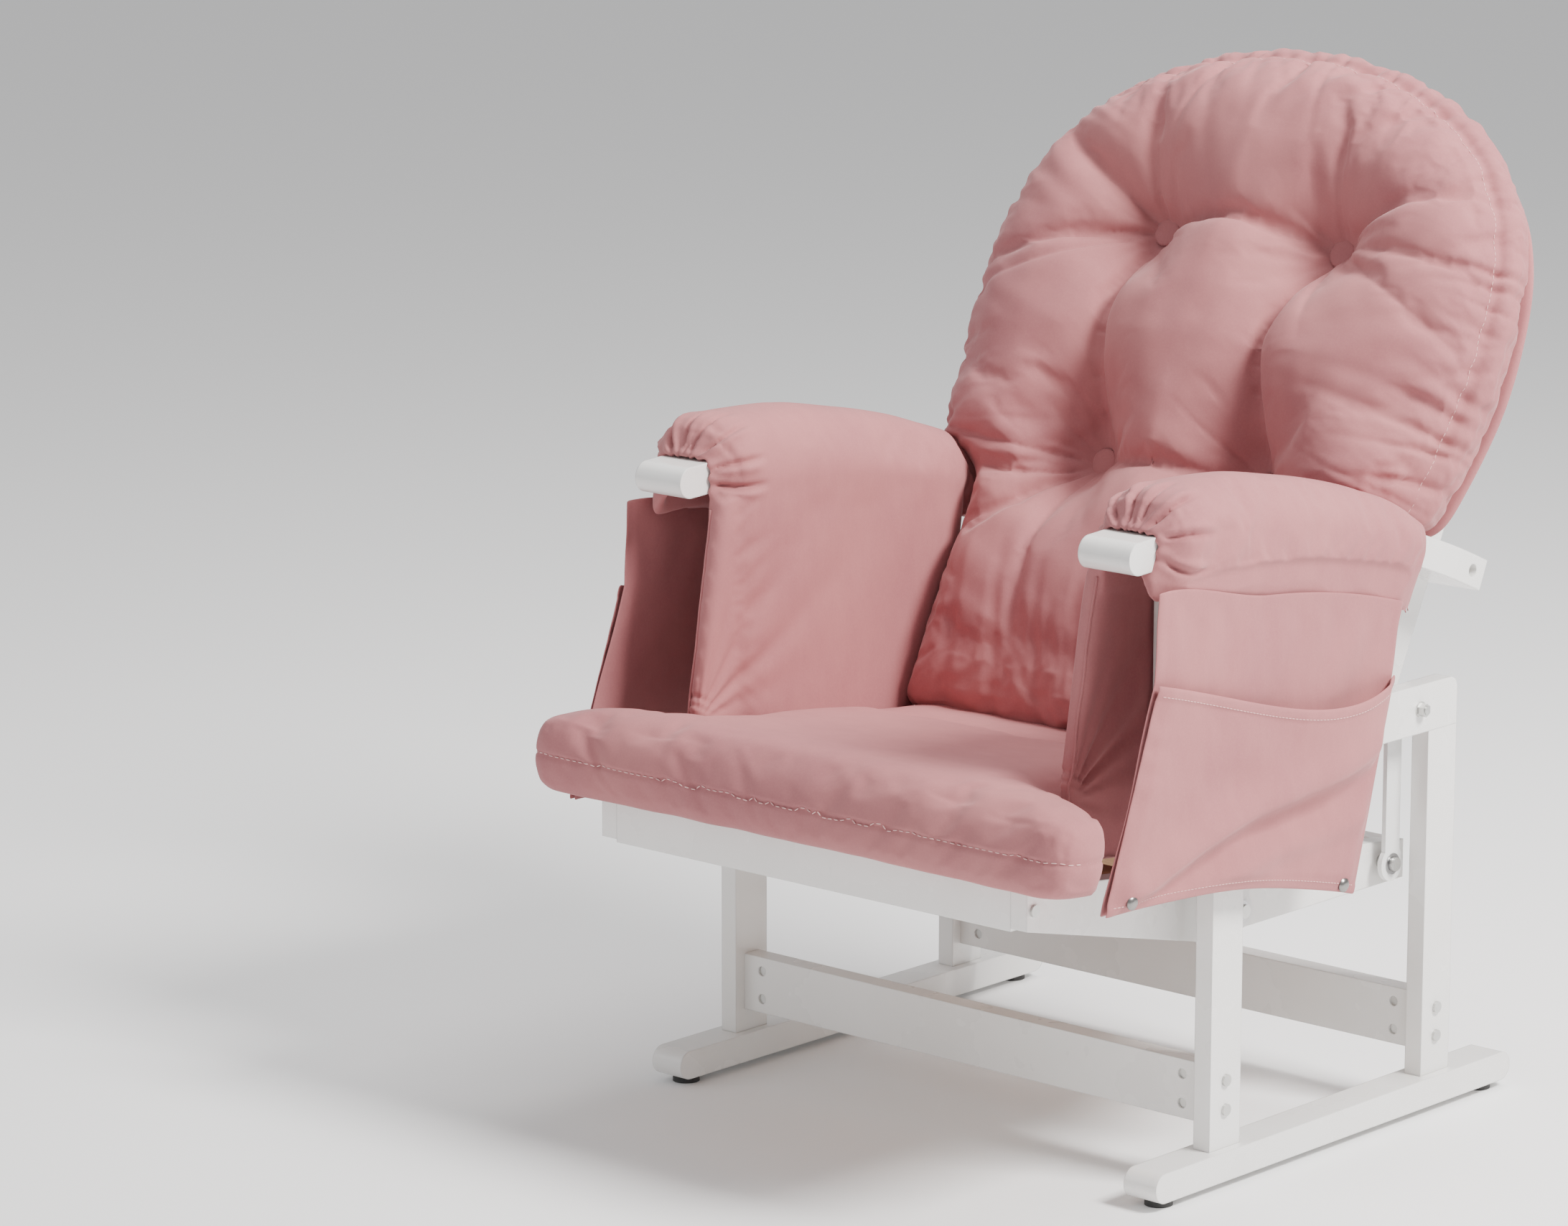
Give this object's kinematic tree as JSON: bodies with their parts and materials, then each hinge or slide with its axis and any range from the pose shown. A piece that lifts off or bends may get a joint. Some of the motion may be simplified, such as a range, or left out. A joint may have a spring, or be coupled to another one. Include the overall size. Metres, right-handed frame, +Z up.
{
  "type": "glider nursery chair",
  "caption": "Cushioned nursery glider: a reclined seat with padded arms and side pockets, swinging on links inside a white base.",
  "frame": {"origin": "on the floor, below the middle of the chair's box", "axes": "+Z is up, -Y is the front that a sitter faces, +X is the right-hand side seen from the front"},
  "size_m": [0.712, 0.8924, 1.0557],
  "materials": {
    "white_lacquer": "satin white lacquer on hardwood",
    "slat_wood": "oiled hardwood slats",
    "zinc_steel": "zinc-plated bolts, nuts and spacers",
    "link_steel": "white powder-coated steel",
    "bearing_steel": "ground steel ball bearings",
    "floor_glide_plastic": "moulded nylon floor glides",
    "rose_suede": "brushed dusty-rose microsuede",
    "snap_metal": "polished snap caps"
  },
  "bodies": {
    "base": {"base_runner_left": "white_lacquer", "base_runner_right": "white_lacquer", "base_post_front_left": "white_lacquer", "base_post_front_right": "white_lacquer", "base_post_rear_left": "white_lacquer", "base_post_rear_right": "white_lacquer", "base_top_rail_left": "white_lacquer", "base_top_rail_right": "white_lacquer", "base_stretcher_front": "white_lacquer", "base_stretcher_rear": "white_lacquer", "floor_glides": "floor_glide_plastic", "stretcher_bolts": "zinc_steel", "stretcher_barrel_nuts": "zinc_steel", "upper_pivot_bolts": "zinc_steel", "upper_pivot_nuts": "zinc_steel", "upper_pivot_spacers": "zinc_steel"},
    "link_front_left": {"link_front_left": "link_steel", "bearings_front_left": "bearing_steel"},
    "link_front_right": {"link_front_right": "link_steel", "bearings_front_right": "bearing_steel"},
    "link_rear_left": {"link_rear_left": "link_steel", "bearings_rear_left": "bearing_steel"},
    "link_rear_right": {"link_rear_right": "link_steel", "bearings_rear_right": "bearing_steel"},
    "seat": {"lower_pivot_bolts": "zinc_steel", "lower_pivot_nuts": "zinc_steel", "lower_pivot_spacers": "zinc_steel", "seat_side_rail_left": "white_lacquer", "seat_side_rail_right": "white_lacquer", "seat_front_rail": "white_lacquer", "seat_rear_rail": "white_lacquer", "seat_cleat_left": "white_lacquer", "seat_cleat_right": "white_lacquer", "seat_slat_1": "slat_wood", "seat_slat_2": "slat_wood", "seat_slat_3": "slat_wood", "seat_slat_4": "slat_wood", "seat_slat_5": "slat_wood", "arm_post_left": "white_lacquer", "arm_post_right": "white_lacquer", "arm_left": "white_lacquer", "arm_right": "white_lacquer", "back_upright_left": "white_lacquer", "back_upright_right": "white_lacquer", "back_rail_top": "white_lacquer", "back_rail_bottom": "white_lacquer", "frame_bolts": "zinc_steel", "back_board": "rose_suede", "seat_cushion": "rose_suede", "back_cushion": "rose_suede", "back_buttons": "rose_suede", "arm_cover_left": "rose_suede", "arm_cover_right": "rose_suede", "arm_inner_pad_left": "rose_suede", "arm_inner_pad_right": "rose_suede", "outer_panel_left": "rose_suede", "outer_panel_right": "rose_suede", "pocket_left": "rose_suede", "pocket_right": "rose_suede", "cover_snaps": "snap_metal"}
  },
  "joints": [
    {"name": "glide", "type": "hinge", "parent": "base", "child": "link_front_right", "pos_m": [0.29, -0.09423, 0.425], "axis": [1, 0, 0], "range_deg": [-24, 24]},
    {"name": "seat_on_front_right", "type": "hinge", "parent": "link_front_right", "child": "seat", "pos_m": [0.29, -0.09423, 0.26], "axis": [1, 0, 0], "range_deg": [-24, 24]},
    {"name": "swing_front_left", "type": "hinge", "parent": "base", "child": "link_front_left", "pos_m": [-0.29, -0.09423, 0.425], "axis": [1, 0, 0], "range_deg": [-24, 24]},
    {"name": "swing_rear_right", "type": "hinge", "parent": "base", "child": "link_rear_right", "pos_m": [0.29, 0.15577, 0.425], "axis": [1, 0, 0], "range_deg": [-24, 24]},
    {"name": "swing_rear_left", "type": "hinge", "parent": "base", "child": "link_rear_left", "pos_m": [-0.29, 0.15577, 0.425], "axis": [1, 0, 0], "range_deg": [-24, 24]}
  ],
  "couplings": [
    {"joint": "seat_on_front_right", "follows": "glide", "ratio": -1},
    {"joint": "swing_front_left", "follows": "glide", "ratio": 1},
    {"joint": "swing_rear_right", "follows": "glide", "ratio": 1},
    {"joint": "swing_rear_left", "follows": "glide", "ratio": 1}
  ]
}
